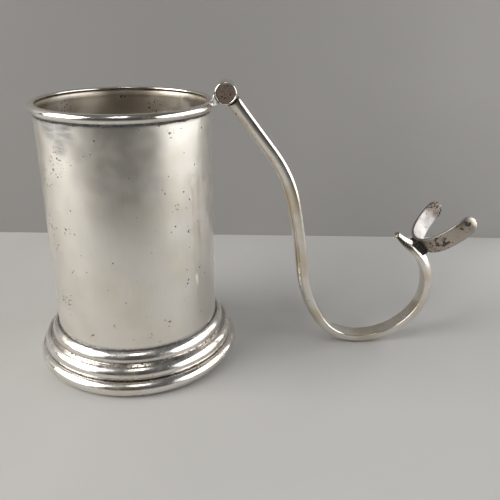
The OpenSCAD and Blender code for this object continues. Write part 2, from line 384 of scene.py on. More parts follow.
# Clusters of pits on the drum: azimuth, height, radius of the cluster.
DRUM_PITS = [
    (-125, 108, 7), (-128, 103, 5), (-139, 99, 5), (-137, 93, 4), (-123, 75, 4), (-142, 76, 7),
    (-137, 66, 5), (-51, 86, 3), (-42, 74, 3), (-43, 65, 2.5), (-45, 50, 3), (-53, 118, 3),
    (-80, 54, 2.5), (-133, 40, 7), (-113, 26, 3), (-73, 27, 2.5), (-95, 33, 2), (-60, 32, 3),
    (30, 92, 7), (48, 105, 4), (75, 60, 7), (98, 84, 4), (120, 40, 7), (165, 95, 8), (150, 60, 6),
]
# The same on the inner wall.
INNER_PITS = [(102, 122, 2.5), (77, 118, 6), (60, 112, 4), (150, 118, 7), (-60, 90, 8), (10, 70, 8)]
# Dull stains under the rim: azimuth, height, radius.
DRUM_STAINS = [(-129, 120, 9), (-119, 119.5, 9), (-122, 113, 6), (60, 112, 9)]
# Scratches on the wall: length, width, turn, and the noise level above which one shows.
WALL_SCRATCHES = [(28, 0.3, 8, 0.68), (16, 0.25, 62, 0.7), (22, 0.25, -48, 0.7)]
LARGE_WALL_PIT = 1.8
SMALL_WALL_PIT = 1.05
# A lone pit is this likely in any cell outside the clusters.
LONE_PIT_SHARE = 0.012
LARGE_PIT = 2.2
SMALL_PIT = 1.1
BLOTCH = 3.4


def add_grime_and_shade(it, tone, fine_mm):
    """Tarnish along the seams, and on the bar and cradle round the cradle's root painted shade as well: a
    brown haze, broken up into black where it is thickest.
    """
    seam = it.grime()
    broken = it.blend(it.math("SUBTRACT", it.cloud(fine_mm, 4), 0.5), 1.3, seam)
    dirty = it.span(broken, 0.55, 0.8)
    haze = it.span(seam, 0.1, 0.8, 0.0, 0.8)
    return it.mix(dirty, it.mix(haze, tone, BROWN_TARNISH), BLACK_TARNISH), dirty


def on_wall(it, places, radius):
    """1 near each (azimuth, height, reach) on a wall of that radius."""
    return it.any_of([it.patch((*(radius * along(azimuth)), height), reach)
                      for azimuth, height, reach in places])


def wall_plate(name, radius, pit_radius, colour, bloom, roughness, pits_at, stains_at=(), coat=0.0):
    """Worn sheet: warm tarnish, clustered pits, stains and fine scratches, laid out round the wall."""
    it = Finish(name)
    it.shader.inputs["Coat Weight"].default_value = coat
    it.shader.inputs["Coat Roughness"].default_value = 0.05
    it.shader.inputs["Coat IOR"].default_value = 2.7
    clustered = on_wall(it, pits_at, pit_radius)
    tone = it.mix(it.span(it.cloud(26, 3), 0.4, 0.7, 0.0, 0.7), colour, bloom)
    if stains_at:
        stained = on_wall(it, stains_at, pit_radius)
    tone, dirty = add_grime_and_shade(it, tone, 1.3)
    it.unroll(radius)
    if stains_at:
        streaks = it.span(it.cloud(1.6, 3, (0.16, 1, 1)), 0.2, 0.62, 0.35)
        dull = it.math("MULTIPLY", stained, streaks)
        tone = it.mix(it.math("MULTIPLY", dull, 0.85), tone, GREY_STAIN)
    large = it.dots(LARGE_WALL_PIT, it.math("MULTIPLY", clustered, 0.85), 0.38)
    small = it.dots(SMALL_WALL_PIT, it.blend(clustered, 0.75, LONE_PIT_SHARE), 0.42)
    pits = it.math("MAXIMUM", large, small)
    tone = it.mix(it.math("MULTIPLY", pits, 0.97), tone, BLACK_TARNISH)
    scratches = it.any_of([it.scratches(*kind) for kind in WALL_SCRATCHES])
    tone = it.mix(it.math("MULTIPLY", scratches, 0.12), tone, BROWN_TARNISH)
    worn = it.span(it.cloud(9, 4), 0.3, 0.75, roughness * 0.85, roughness * 1.2)
    rough = it.blend(it.math("MAXIMUM", pits, dirty), 0.3, worn)
    it.bump(it.math("SUBTRACT", 1.0, pits), 0.02)
    it.bump(it.math("SUBTRACT", 1.0, scratches), 0.006)
    it.bump(it.cloud(0.7, 2), 0.004)
    return it.finish(tone, rough)


def plate(name, colour, bloom, roughness, bloom_share, pit_share, blotch_level=None):
    """Polished plate on the smaller pieces, eaten into black blotches where a noise is over blotch_level."""
    it = Finish(name)
    tone = it.mix(it.span(it.cloud(14, 3), 0.42, 0.68, 0.0, bloom_share), colour, bloom)
    tone, dirty = add_grime_and_shade(it, tone, 0.9)
    clustered = it.span(it.cloud(11, 2), 0.5, 0.68, 0.15, 1.0)
    large = it.dots(LARGE_PIT, it.math("MULTIPLY", clustered, pit_share), 0.3)
    small = it.dots(SMALL_PIT, it.math("MULTIPLY", clustered, 1.6 * pit_share), 0.34)
    pits = it.math("MAXIMUM", large, small)
    if blotch_level:
        pits = it.math("MAXIMUM", pits, it.span(it.cloud(BLOTCH, 3), blotch_level, blotch_level + 0.05))
    tone = it.mix(it.math("MULTIPLY", pits, 0.85), tone, BLACK_TARNISH)
    worn = it.span(it.cloud(5, 4), 0.3, 0.75, roughness * 0.75, roughness * 1.4)
    rough = it.blend(it.math("MAXIMUM", pits, dirty), 0.35, worn)
    it.bump(it.math("SUBTRACT", 1.0, pits), 0.06)
    it.bump(it.cloud(0.6, 3), 0.0015)
    return it.finish(tone, rough)


def dark_metal(name, colour, spots, roughness, grain_mm, relief_mm):
    """Oxidised metal: blotched, pitted and rough."""
    it = Finish(name, metallic=0.9)
    grain = it.cloud(grain_mm, 4, rough=0.65)
    tone = it.mix(it.span(grain, 0.35, 0.7), colour, spots)
    holes = it.dots(grain_mm, 0.35, 0.4)
    tone = it.mix(holes, tone, BLACK_TARNISH)
    it.bump(it.math("SUBTRACT", 1.0, holes), 0.08)
    it.bump(grain, relief_mm)
    return it.finish(tone, it.span(grain, 0.3, 0.75, roughness * 0.8, roughness * 1.3))


DRUM_PLATE = wall_plate("worn_plate", WALL_R, WALL_R + 0.1, SILVER, WARM_SILVER, 0.35, DRUM_PITS,
                        DRUM_STAINS, coat=1.0)
INNER_PLATE = wall_plate("inside_plate", INNER_WALL_R, INNER_WALL_R, INNER_SILVER, INNER_WARM_SILVER, 0.34,
                         INNER_PITS)
BRIGHT_PLATE = plate("bright_plate", (0.84, 0.81, 0.77), (0.72, 0.63, 0.50), 0.17, 0.5, 0.06)
MOULDED_PLATE = plate("moulded_plate", (0.83, 0.80, 0.76), (0.72, 0.64, 0.52), 0.22, 0.5, 0.05)
BRACKET_PLATE = plate("bracket_plate", (0.60, 0.585, 0.565), (0.42, 0.38, 0.33), 0.38, 0.6, 0.05)
BAR_PLATE = plate("bar_plate", (0.84, 0.80, 0.74), (0.68, 0.59, 0.45), 0.2, 0.8, 0.08)
CRADLE_PLATE = plate("cradle_plate", (0.36, 0.34, 0.325), (0.25, 0.22, 0.20), 0.43, 1.0, 0.12)
CRADLE_BACK = plate("cradle_back", (0.50, 0.44, 0.38), (0.25, 0.205, 0.165), 0.34, 1.0, 0.6, 0.56)
COPPER = dark_metal("oxidised_copper_alloy", (0.42, 0.32, 0.26), (0.22, 0.165, 0.145), 0.42, 1.3, 0.035)
SOLDER = dark_metal("blackened_solder", (0.075, 0.075, 0.075), (0.022, 0.022, 0.022), 0.5, 1.0, 0.08)
GREY_SOLDER = dark_metal("grey_solder", (0.19, 0.195, 0.205), (0.06, 0.06, 0.065), 0.45, 1.1, 0.05)
PIN_METAL = dark_metal("dull_pin", (0.45, 0.37, 0.25), (0.25, 0.2, 0.14), 0.4, 0.8, 0.01)


def wear(piece, *materials):
    """The piece, with the materials in its slots."""
    for material in materials:
        piece.data.materials.append(material)
    return piece


# ---- the tankard's body ----

WALL_TURNS = 256
BEAD_TURNS = 480
SOLDER_TURNS = 360
WALL_STEP = 2.2


def dented(angle, r, z):
    """Soft planishing of the sheet, the same on both faces of the wall."""
    point = round_z(NECK_R, angle, z)
    fade = ramp(z - MOULDING_Z, 0, 8) * ramp(RIM_Z - z, 0, 8)
    return fade * (0.014 * unevenness(point, 24, 1) + 0.003 * unevenness(point, 8, 2)), 0


def make_drum():
    inner_base = BASE_R - SHEET_T
    inner_neck = NECK_R - SHEET_T
    low_z = DRUM_LOW[2]
    outline = divided(rounded([
        (BASE_R, low_z, 0.25), (BASE_R, MOULDING_Z, 0), (NECK_R, RIM_Z, 0.2),
        (inner_neck, RIM_Z, 0.2), (inner_base, MOULDING_Z, 0), (inner_base, low_z, 0.25),
    ], 3), WALL_STEP)
    seams = [(NECK_R, RIM_Z - RIM_R - 0.25, 1.35, 0.78), (BASE_R, MOULDING_Z + 0.2, 0.6, 0.75),
             (inner_base, FLOOR_HIGH[2], 1.6, 0.8)]
    piece = lathe("drum_shell", outline, WALL_TURNS, "tankard", ("drum",), dented, seams)
    wear(piece, DRUM_PLATE, INNER_PLATE)
    for face in piece.data.polygons:
        outward = Vector((*face.center.xy, 0)).normalized()
        face.material_index = int(face.normal.dot(outward) < -0.5)


def make_floor():
    """The floor is spun: it dips towards the middle, with turned rings and a rounded edge."""
    radius = FLOOR_HIGH[0]
    low, high = FLOOR_LOW[2], FLOOR_HIGH[2]
    edge = 0.3
    outline = [(0.02, low + 0.1)]
    for share in np.arange(1, 30) / 30:
        outline.append((radius * share, low + 0.1 * math.cos(share * math.pi / 2)))
    outline += arc((radius - edge, low + edge), edge, -90, 0, 3)
    outline += arc((radius - edge, high - edge), edge, 0, 90, 3)
    for share in np.arange(59, 0, -1) / 60:
        dip = 0.22 * math.cos(share * math.pi / 2) + 0.02 * math.cos(share * 40 * math.pi)
        outline.append((radius * share, high - 0.02 - dip))
    outline.append((0.02, high - 0.26))
    seams = [(radius, high, 2.5, 0.8)]
    piece = lathe("floor_plate", outline, 192, "tankard", ("floor_disc",), None, seams)
    wear(piece, INNER_PLATE)


def rim_waver(angle, r, z):
    """How far the rim departs from round and flat."""
    point = round_z(RIM_X, angle)
    return 0.05 * unevenness(point, 14, 5), 0.035 * unevenness(point, 11, 6)


def make_rim():
    """A bead of round wire, with a small flat inner lip where it meets the wall."""
    bore = NECK_R - SHEET_T
    lip = math.degrees(math.acos((bore - RIM_X) / RIM_R))
    outline = arc((RIM_X, RIM_Z), RIM_R, -90, lip, 40)
    outline += [(bore, RIM_Z + 1.2), (bore, RIM_Z + 0.3), (NECK_R - 0.3, RIM_Z + 0.05),
                (NECK_R - 0.05, RIM_Z - 0.4), (NECK_R + 0.03, RIM_Z - 1.4)]
    seams = [(NECK_R, RIM_Z - RIM_R + 0.1, 0.85, 0.95), (bore, RIM_Z + 1.6, 0.35, 0.35)]
    piece = lathe("rim_bead", outline, BEAD_TURNS, "tankard", ("rim_wire",), rim_waver, seams)
    wear(piece, BRIGHT_PLATE)


def seam_solder(name, r, z, size, drop, seed):
    """An uneven thread of dark solder in a corner: out by size, and down the wall by drop."""
    side = math.copysign(1, drop)

    def ragged(angle, pr, pz):
        point = round_z(r, angle)
        swell = 0.3 * unevenness(point, 3.5, seed) + 0.25 * unevenness(point, 1.2, seed + 1)
        return (pr - r) * swell, (pz - z) * swell

    outline = rounded([
        (r - 0.2, z + 0.6 * side, 0), (r + size, z + 0.2 * side, 0.05),
        (r + size * 0.45, z - drop * 0.35, 0.05), (r + 0.02, z - drop, 0.05), (r - 0.2, z - drop * 0.8, 0),
    ], 2)
    wear(lathe(name, outline, SOLDER_TURNS, "tankard", (), ragged), GREY_SOLDER)


# ---- the mouldings and the foot ----

UPPER_BEAD = (BASE_R - 1.2, MOULDING_Z - 4.53)
UPPER_BEAD_R = 4.6
COVE_R = 1.3
COVE = (UPPER_BEAD[0] + UPPER_BEAD_R + COVE_R, UPPER_BEAD[1] + 0.2)
LOWER_BEAD = (43.02, LAND_Z + 1.27)
LOWER_BEAD_R = 4.25
LIP = (46.95, LAND_Z + 0.42)
LIP_R = 0.4
FOOT_BEAD = (FOOT_R - 3.8, 4.0)
FOOT_BEAD_R = 3.72
GROOVE_Z = 7.6
PROFILE_STEP = 1.5


def moulding_waver(angle, r, z):
    """How far the mouldings depart from round and level."""
    point = round_z(BASE_R, angle, z * 2)
    return 0.05 * unevenness(point, 16, 9), 0.05 * unevenness(point, 19, 10)


def make_moulding():
    """A hollow stamping: bead, cove and ovolo, with a thin lip over the foot's groove."""
    outline = arc(UPPER_BEAD, UPPER_BEAD_R, 74, 2, 18)
    outline += arc(COVE, COVE_R, 182, 250, 10)
    outline += arc(LOWER_BEAD, LOWER_BEAD_R, 69, -5, 18)
    outline += arc(LIP, LIP_R, 60, -90, 6)
    outline += [(46.2, LAND_Z), (45.0, LAND_Z + 0.1), (44.6, LAND_Z + 1.5), (43.6, LAND_Z + 2.9),
                (42.0, LAND_Z + 3.6), (41.7, MOULDING_Z - 4.0), (BASE_R + 0.05, MOULDING_Z - 2.2)]
    seams = [(BASE_R + 0.25, MOULDING_Z, 0.85, 0.85), (COVE[0] - 1.1, COVE[1] - 0.77, 1.0, 0.62),
             (COVE[0] - 0.3, COVE[1] - 1.57, 0.8, 0.68), (LIP[0] - 0.05, LAND_Z + 0.95, 0.25, 0.4),
             (LIP[0] - 0.45, LAND_Z, 0.7, 0.7)]
    piece = lathe("base_moulding_ring", divided(outline, PROFILE_STEP), BEAD_TURNS, "tankard",
                  ("base_moulding",), moulding_waver, seams)
    wear(piece, MOULDED_PLATE)


def foot_waver(angle, r, z):
    """How far the foot departs from round, and its upper part from level."""
    point = round_z(FOOT_R, angle, z)
    return 0.06 * unevenness(point, 20, 12), ramp(z, 0, 2) * 0.05 * unevenness(point, 15, 13)


def make_foot():
    """A bead that stands on a flat, with an open groove between it and the moulding's lip."""
    bead_r = FOOT_BEAD[0]
    wall = BASE_R + 0.05
    outline = [(wall, LAND_Z - 0.03), (bead_r - 0.5, LAND_Z - 0.03), (bead_r - 0.25, LAND_Z - 0.2),
               (bead_r - 0.15, GROOVE_Z + 0.15), (bead_r + 0.1, GROOVE_Z)]
    outline += arc(FOOT_BEAD, FOOT_BEAD_R, 82, -58, 24)
    outline += [(bead_r + 0.7, 0.12), (bead_r + 0.35, 0.0), (wall + 2.6, 0.0), (wall + 2.3, 0.1), (wall, 1.7)]
    seams = [(bead_r - 0.1, GROOVE_Z + 0.3, 0.6, 0.8), (bead_r + 1.2, 0.3, 0.8, 0.5), (bead_r, 0.0, 0.8, 0.5)]
    piece = lathe("foot_ring_bead", divided(outline, PROFILE_STEP), BEAD_TURNS, "tankard",
                  ("foot_ring",), foot_waver, seams)
    wear(piece, MOULDED_PLATE)


# ---- the hinge ----


def about_hinge(piece, flip=1):
    """Turns a piece made about Z at the origin to lie along the hinge axis."""
    turn = Matrix.Translation(Vector(HINGE * MM)) @ Matrix.Rotation(math.radians(90 * flip), 4, "X")
    piece.data.transform(turn)
    return piece


# The pin's end is spread to this radius, inside the knuckle's round rim.
DISC_R = CAP_R - 0.25
KNUCKLE_STEP = 0.8


def cap_waver(angle, flip):
    """How far the spread end of the pin departs from round."""
    return 0.32 * unevenness((math.cos(angle), math.sin(angle), 4 * flip), 1.0, 21)


def faces_of(node):
    """How far a hinge node's inner and outer faces stand from the handle's plane."""
    low, high = node_box(node)
    return sorted((abs(low[1]), abs(high[1])))


def make_outer_knuckle(name, node, flip):
    """A knuckle with a raised, worn rim round the sunk end of the pin. Local +Z faces outwards."""
    inner, outer = faces_of(node)
    seat = abs(CAP_HIGH[1])
    outline = divided(rounded([
        (KNUCKLE_R, inner, 0.25), (KNUCKLE_R, outer, 0.4), (DISC_R + 0.02, outer, 0.3),
        (DISC_R + 0.02, seat, 0), (PIN_R + 0.02, seat, 0), (PIN_R + 0.02, inner, 0.1),
    ], 5), KNUCKLE_STEP)
    seams = [(DISC_R, outer - 0.25, 0.2, 0.7)]

    def uneven(angle, r, z):
        return (cap_waver(angle, flip) if PIN_R + 1 < r < DISC_R + 0.3 else 0), 0

    piece = lathe(name, outline, 96, "tankard", (node,), uneven, seams)
    wear(about_hinge(piece, flip), BRIGHT_PLATE)


def make_cap(name, node, flip):
    """The pin's end, spread in its recess: nearly flat, a little dished, pitted and brown."""
    inner, outer = faces_of(node)
    edge = 0.22

    def hammered(angle, r, z):
        out = cap_waver(angle, flip) * eased(r, 0.6 * DISC_R, DISC_R)
        if z < outer - 0.2:
            return out, 0
        return out, 0.07 * unevenness(round_z(r, angle, flip * 9), 1.9, 20) - 0.06

    outline = [(0.01, inner), (DISC_R - 0.04, inner)]
    outline += arc((DISC_R - 0.04 - edge, outer - edge), edge, 0, 90, 4)
    outline += [(DISC_R * 0.92 * share, outer - 0.05 * math.cos(share * math.pi / 2))
                for share in np.arange(15, 0, -1) / 16]
    outline.append((0.01, outer - 0.05))
    piece = lathe(name, outline, 96, "tankard", (node,), hammered)
    wear(about_hinge(piece, flip), COPPER)


def make_middle_knuckle():
    """The handle's knuckle, with rounded edges, and its bore on the pin."""
    bore = PIN_R + 0.05
    outline = divided(rounded([
        (KNUCKLE_R, -MIDDLE_HALF, 0.3), (KNUCKLE_R, MIDDLE_HALF, 0.3),
        (bore, MIDDLE_HALF, 0.15), (bore, -MIDDLE_HALF, 0.15),
    ], 5), KNUCKLE_STEP)
    piece = lathe("handle_knuckle_ring", outline, 72, "handle", ("handle_knuckle",))
    wear(about_hinge(piece), BRIGHT_PLATE)


def make_tenon():
    """The neck between the handle's knuckle and the bar's shoulder, narrower than both."""
    half = MIDDLE_HALF - 0.2
    section = rounded([(-half, -half, 0.5), (half, -half, 0.5), (half, half, 0.5), (-half, half, 0.5)], 4)
    ux, uz = along(-SHANK_SLOPE)
    rings = []
    for reach, swell in [(KNUCKLE_R - 0.9, 1.0), (KNUCKLE_R + 0.1, 1.0), (KNUCKLE_R + 0.35, 0.94),
                         (SHOULDER_R, 0.94), (SHOULDER_R + 1.5, 1.0)]:
        x, z = AXLE + reach * along(-SHANK_SLOPE)
        rings.append([(x - h * swell * uz, y * swell, z + h * swell * ux) for h, y in section])
    points, faces = skin_rings(rings)
    piece = new_piece("handle_tenon", points, faces, "handle", (), [0.75] * len(points))
    wear(piece, BRACKET_PLATE)


def softened_copy(node, name, body, voxel_mm, passes):
    """A copy of a CAD node's shape with its edges worn round: remeshed finely, then relaxed."""
    piece = frame["nodes"][node].copy()
    piece.data = piece.data.copy()
    piece.name = name
    piece.parent = None
    for key in list(piece.keys()):
        del piece[key]
    piece.data.materials.clear()
    bpy.context.scene.collection.objects.link(piece)
    remesh = piece.modifiers.new("remesh", "REMESH")
    remesh.voxel_size = voxel_mm * MM
    soften = piece.modifiers.new("soften", "SMOOTH")
    soften.iterations = passes
    graph = bpy.context.evaluated_depsgraph_get()
    mesh = bpy.data.meshes.new_from_object(piece.evaluated_get(graph))
    piece.modifiers.clear()
    piece.data = mesh
    mesh.shade_smooth()
    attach(piece, body)
    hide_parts(node)
    return piece


def tongue_outline(across):
    """The tongue's side view at a place across it, as (x, z): top, barrel, underside and rim."""
    across = abs(across)
    ridge = eased(across, BAR_W / 2 + 0.2, BAR_W / 2 + 0.8)
    fixed = eased(across, MIDDLE_HALF + 0.05, MIDDLE_HALF + 0.3)
    radius = KNUCKLE_R + 0.3 - 0.5 * fixed
    low_top = 180 + math.degrees(math.asin((HINGE[2] - TOP_Z + 0.25) / radius))
    top_angle = low_top + (172 - low_top) * ridge
    end_angle = 236
    root_top = (RIM_X - 0.1, RIM_Z + 0.97 * RIM_R)
    root_low = (RIM_X + 0.86 * RIM_R, RIM_Z - 0.3 * RIM_R)
    on_top = AXLE + radius * along(top_angle)
    on_low = AXLE + radius * along(end_angle)
    rise = (on_top[0] - 0.35 * ridge, root_top[1] + 0.2)
    outline = bowed(root_top, rise, on_top, 10)
    outline += arc(AXLE, radius, top_angle, end_angle, 9)[:-1]
    outline += bowed(on_low, (on_low[0] - 1.3, root_low[1] + 0.25), root_low, 10)
    return outline + [root_low, (RIM_X + 0.2, RIM_Z)]


def make_tongue():
    """A saddle from the rim to the barrel, low in the middle, where the bar folds over it."""
    half = faces_of("rim_knuckle_front")[1]
    worn_edge = [(0.86, 1.0), (0.93, 0.985), (0.97, 0.94), (0.99, 0.86), (1.0, 0.7)]
    places = [(-t, shrink) for t, shrink in reversed(worn_edge)]
    places += [(t, 1.0) for t in np.linspace(-0.83, 0.83, 47)] + worn_edge
    rings = []
    for t, shrink in places:
        outline = tongue_outline(t * half)
        middle = np.mean(outline, axis=0)
        ring = []
        for x, z in outline:
            spread = eased(HINGE[0] - KNUCKLE_R + 1.6 - x, 0, 2.6)
            y = t * half * (1 + 0.22 * spread)
            bend = RIM_X - math.sqrt(RIM_X ** 2 - y * y)
            x, z = middle + (np.array((x, z)) - middle) * shrink
            ring.append((x - bend * spread, y, z))
        rings.append(ring)
    points, faces = skin_rings(rings)
    dirt = [0.8 * falloff(math.dist((x, z), AXLE) - KNUCKLE_R, 0.5) for x, y, z in points]
    piece = new_piece("hinge_tongue", points, faces, "tankard", ("hinge_bracket",), dirt)
    wear(piece, BRACKET_PLATE)


# ---- the handle ----

BAR_T = 5.4
# The straight shank's slope, in degrees, and the flat's start from the axle, along the slope and off it.
SHANK_SLOPE = 53
BAR_START = 3.5
FLAT_OFFSET = 3.6
# The hook's height over the table.
TABLE_GAP = 0.05
SHOULDER_R = KNUCKLE_R + 0.7
TAIL_TAPER = 9.5
TIP_SHARE = 0.55
# The shoulder's rings: how full the section is, and how far it stands off the hollow.
SHOULDER_RINGS = [(0.2, 0), (0.5, 0), (0.78, 0), (0.9, 0), (0.955, 0.06), (0.985, 0.2), (1, 0.45)]
# The swept sections take over from them this many stations along.
SHOULDER_STATIONS = 4
# The flat follows these bends after the straight shank: radius and angle, left turns positive.
BENDS = [(63, -24.5), (285, -7.5), (58, 31), (20.5, 48), (32.5, 57.5), (25.5, 92), (28, -18)]
# The hook's lowest point is in this bend, counted from 0.
LOWEST_BEND = 4
# The length over which a bend eases into the next.
EASING = 5.0
SHANK_EDGE_R = 1.6
HOOK_EDGE_R = 0.45
FLAT_CROWN = 0.17
SHANK_TWIST = 28
STATION_STEP = 1.0
# Where along the bar each change begins and ends.
TWIST_FADE = (42, 132)
EDGE_FADE = (75, 115)
FLAT_AGEING = (125, 165)


def bend_move(radius, start, end):
    """The move along a bend of the given radius between two headings."""
    return math.copysign(radius, end - start) * (left_of(start) - left_of(end))


def after_bends(place, count, last_heading):
    """The place past that many bends, and then round the next one as far as last_heading."""
    heading = -SHANK_SLOPE
    for radius, angle in BENDS[:count]:
        place = place + bend_move(radius, heading, heading + angle)
        heading += angle
    return place + bend_move(BENDS[count][0], heading, last_heading)


def shank_line():
    """Where the flat starts, and how long the straight shank is for the hook to end at the table."""
    start = AXLE + BAR_START * along(-SHANK_SLOPE) + FLAT_OFFSET * left_of(-SHANK_SLOPE)
    lowest = after_bends(start, LOWEST_BEND, 0)[1]
    return start, (lowest - BAR_T - TABLE_GAP) / math.sin(math.radians(SHANK_SLOPE))


def flat_stations():
    """Places and headings every STATION_STEP along the flat, with each bend eased into the next."""
    start, shank = shank_line()
    fine = 0.05
    curvature = [0] * round(shank / fine)
    for radius, angle in BENDS:
        steps = round(radius * math.radians(abs(angle)) / fine)
        curvature += [math.radians(angle) / (steps * fine)] * steps
    window = round(EASING / fine)
    padded = np.concatenate([np.zeros(window), curvature, np.full(window, curvature[-1])])
    gradual = np.convolve(padded, np.ones(window) / window, "same")[window:-window]
    headings = math.radians(-SHANK_SLOPE) + np.cumsum(gradual) * fine
    x = start[0] + np.cumsum(np.cos(headings)) * fine
    z = start[1] + np.cumsum(np.sin(headings)) * fine
    every = round(STATION_STEP / fine)
    return [(x[i], z[i], headings[i]) for i in range(0, len(x), every)] + [(x[-1], z[-1], headings[-1])]


def half_round(share, twist=0.0, edge_r=HOOK_EDGE_R):
    """The bar's section as (height over the flat, place across): a dome, round edges, a low crown
    on the flat. It is scaled by share and turned by twist, in degrees, and rests on the flat's plane."""
    r = BAR_W / 2
    middle = BAR_T - r
    edge_h = edge_r + FLAT_CROWN
    edge_y = math.sqrt((r - edge_r) ** 2 - (edge_h - middle) ** 2)
    meet = math.degrees(math.atan2(edge_y, edge_h - middle))
    slope = math.degrees(math.atan(2 * FLAT_CROWN / edge_y))
    half = arc((middle, 0), r, 0, meet, 9)[1:] + arc((edge_h, edge_y), edge_r, meet, 180 - slope, 8)[1:]
    half += [(FLAT_CROWN * t * t, edge_y * t) for t in (0.75, 0.5, 0.25)]
    section = [(BAR_T, 0)] + half + [(0, 0)] + [(h, -y) for h, y in reversed(half)]
    c, q = math.cos(math.radians(twist)), math.sin(math.radians(twist))
    turned = [((h - middle) * c + y * q, y * c - (h - middle) * q) for h, y in section]
    lowest = min(h for h, y in turned)
    return [(share * (h - lowest), share * y) for h, y in turned]


def twist_at(length):
    """The twist of the bar at a length along it: steady in the shank, and gone by the hook."""
    return SHANK_TWIST * (1 - eased(length, *TWIST_FADE))


def edge_at(length):
    """The radius of the flat's edges: well worn in the shank, and crisp in the hook."""
    return SHANK_EDGE_R + (HOOK_EDGE_R - SHANK_EDGE_R) * eased(length, *EDGE_FADE)


def bar_ring(x, z, heading, section, lift):
    """The section set square across the path. Heights over the flat point to the right of travel."""
    nx, nz = math.sin(heading), -math.cos(heading)
    return [(x + (h + lift) * nx, y, z + (h + lift) * nz) for h, y in section]


def saddle_ring(start, section, share, standoff):
    """A ring of the shoulder, which hollows to follow the barrel. share draws it in to the middle."""
    ahead, normal = along(-SHANK_SLOPE), -left_of(-SHANK_SLOPE)
    out = []
    for h, y in section:
        h = BAR_T * 0.45 + (h - BAR_T * 0.45) * share
        across = (np.array(start[:2]) + h * normal - AXLE) @ normal
        reach = math.sqrt(max(0, SHOULDER_R ** 2 - across ** 2)) + standoff
        x, z = AXLE + across * normal + reach * ahead
        out.append((x, y * share, z))
    return out


def bar_grime_and_shade(rings, points):
    """The bar's darkening: dirt at the barrel, on the hook's flat and on the tail, and round the cradle's
    root both solder tarnish and painted shade.
    """
    ageing = []
    end = len(rings) * STATION_STEP
    for i, ring in enumerate(rings):
        on_flat = 0.3 * eased(i * STATION_STEP, *FLAT_AGEING)
        on_tail = 0.5 * eased(i * STATION_STEP, end - 26, end - 14)
        middle = len(ring) / 2
        ageing += [max(on_tail, on_flat if abs(k - middle) < len(ring) / 5 else 0) for k in range(len(ring))]
    ageing += [0, ageing[-1]]
    # Round the cradle's root: tarnish by the solder pad, together with painted shade for the root's shadow
    # and the handle's dark reflection.
    return [max(falloff(math.dist((p[0], p[2]), AXLE) - SHOULDER_R, 0.5),
                0.8 * falloff(math.dist(p, PAD_MIDDLE), 5.2, 4), aged) for p, aged in zip(points, ageing)]


def make_bar():
    """A shoulder hollowed to the barrel, then the bar's section swept along the flat to a blunt tip."""
    stations = flat_stations()
    full = half_round(1, SHANK_TWIST, SHANK_EDGE_R)
    rings = [saddle_ring(stations[0], full, share, gap) for share, gap in SHOULDER_RINGS]
    for i in range(SHOULDER_STATIONS, len(stations)):
        x, z, heading = stations[i]
        left = (len(stations) - 1 - i) * STATION_STEP
        share = 1 - (1 - TIP_SHARE) * max(0, 1 - left / TAIL_TAPER) ** 1.15
        section = half_round(share, twist_at(i * STATION_STEP), edge_at(i * STATION_STEP))
        stray = 0.05 * unevenness((x, 0, z), 16, 30)
        rings.append(bar_ring(x, z, heading, section, stray))
    x, z, heading = stations[-1]
    for t in (0.3, 0.55, 0.75, 0.88, 0.96, 0.995):
        share = TIP_SHARE * math.sqrt(1 - t * t)
        reach = TIP_SHARE * BAR_W / 3 * t
        sink = (TIP_SHARE - share) * BAR_T / 2
        rings.append(bar_ring(x + reach * math.cos(heading), z + reach * math.sin(heading), heading,
                              half_round(share), sink))
    points, faces = skin_rings(rings)
    piece = new_piece("handle_bar_swept", points, faces, "handle", ("handle_bar",),
                      bar_grime_and_shade(rings, points))
    wear(piece, BAR_PLATE)


# ---- the cradle ----

# The strip's bends, outwards from its middle: radius and angle.
ROOT_BEND = (15.5, 52)
ARM_BEND = (26, 42)
STRIP_W = 9.1
STRIP_T = 1.5
# The bar's bend that it stands on, counted from 0, and the bar's heading there.
CRADLE_BEND = 5
CRADLE_HEADING = 136
CRADLE_STAND = 6.5
CRADLE_LEAN = 3
CRADLE_YAW = 10


def at_length(s):
    """The strip's middle line at length s from its middle: (out through the mouth, across, heading)."""
    root_r, root_angle = ROOT_BEND
    arm_r = ARM_BEND[0]
    bend = math.radians(root_angle)
    past = abs(s) - root_r * bend
    if past < 0:
        a = abs(s) / root_r
        x, y = root_r - root_r * math.cos(a), root_r * math.sin(a)
    else:
        a = bend + past / arm_r
        x = root_r + (arm_r - root_r) * math.cos(bend) - arm_r * math.cos(a)
        y = arm_r * math.sin(a) - (arm_r - root_r) * math.sin(bend)
    return x, math.copysign(y, s), math.copysign(a, s)


def cradle_place():
    """The cradle's place, worked out from the bar's path at its heading."""
    start, shank = shank_line()
    x, z = after_bends(start + shank * along(-SHANK_SLOPE), CRADLE_BEND, CRADLE_HEADING)
    return (Matrix.Translation(Vector((x, 0, z)))
            @ Matrix.Rotation(math.radians(90 - CRADLE_HEADING + CRADLE_LEAN), 4, "Y")
            @ Matrix.Translation(Vector((CRADLE_STAND, 0, 0)))
            @ Matrix.Rotation(math.radians(CRADLE_YAW), 4, "Z"))


def strip_section(width, thick):
    """A flat strip's section as (outwards from the mouth's inside, across): edges rounded."""
    edge = min(0.5, 0.48 * thick, 0.48 * width)
    t, w = thick / 2, width / 2
    return rounded([(-t, -w, edge), (t, -w, edge), (t, w, edge), (-t, w, edge)], 4)


